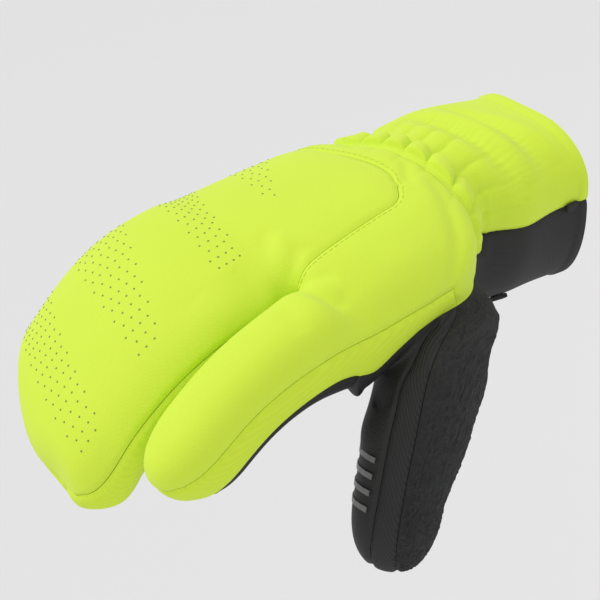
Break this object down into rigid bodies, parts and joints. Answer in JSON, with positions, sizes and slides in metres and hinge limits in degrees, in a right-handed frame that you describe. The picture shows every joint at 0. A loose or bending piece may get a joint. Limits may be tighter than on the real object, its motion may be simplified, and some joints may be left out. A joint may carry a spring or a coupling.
{
  "type": "winter cycling glove",
  "caption": "Right-hand winter cycling glove with a mitten for three fingers, a separate index finger, a fleece-backed thumb and a long cuff gathered at the wrist.",
  "frame": {"origin": "middle of the wrist, inside the glove, where the hand's wrist sits", "axes": "-Y towards the fingertips, +Y out of the cuff, +X to the thumb side, +Z out of the back of the hand"},
  "size_m": [0.1602, 0.2651, 0.1309],
  "materials": {
    "softshell": "matt softshell, fluorescent yellow",
    "leather": "matt black synthetic leather",
    "fleece": "short charcoal fleece",
    "twill": "black stretch twill",
    "silicone": "grey silicone print",
    "webbing": "black webbing"
  },
  "bodies": {
    "root": {"mitten_back": "softshell", "hand_back": "softshell", "fourchette": "softshell", "mitten_gusset": "softshell", "index_gusset": "softshell", "palm_panel": "leather", "thumb_back": "fleece", "thumb_band": "twill", "thumb_pad": "leather", "wrist_gather": "softshell", "cuff_back": "softshell", "cuff_palm": "twill", "grip_bar_1": "silicone", "grip_bar_2": "silicone", "grip_bar_3": "silicone", "grip_bar_4": "silicone", "wrist_tab": "webbing", "hem_tab": "webbing"}
  },
  "joints": []
}
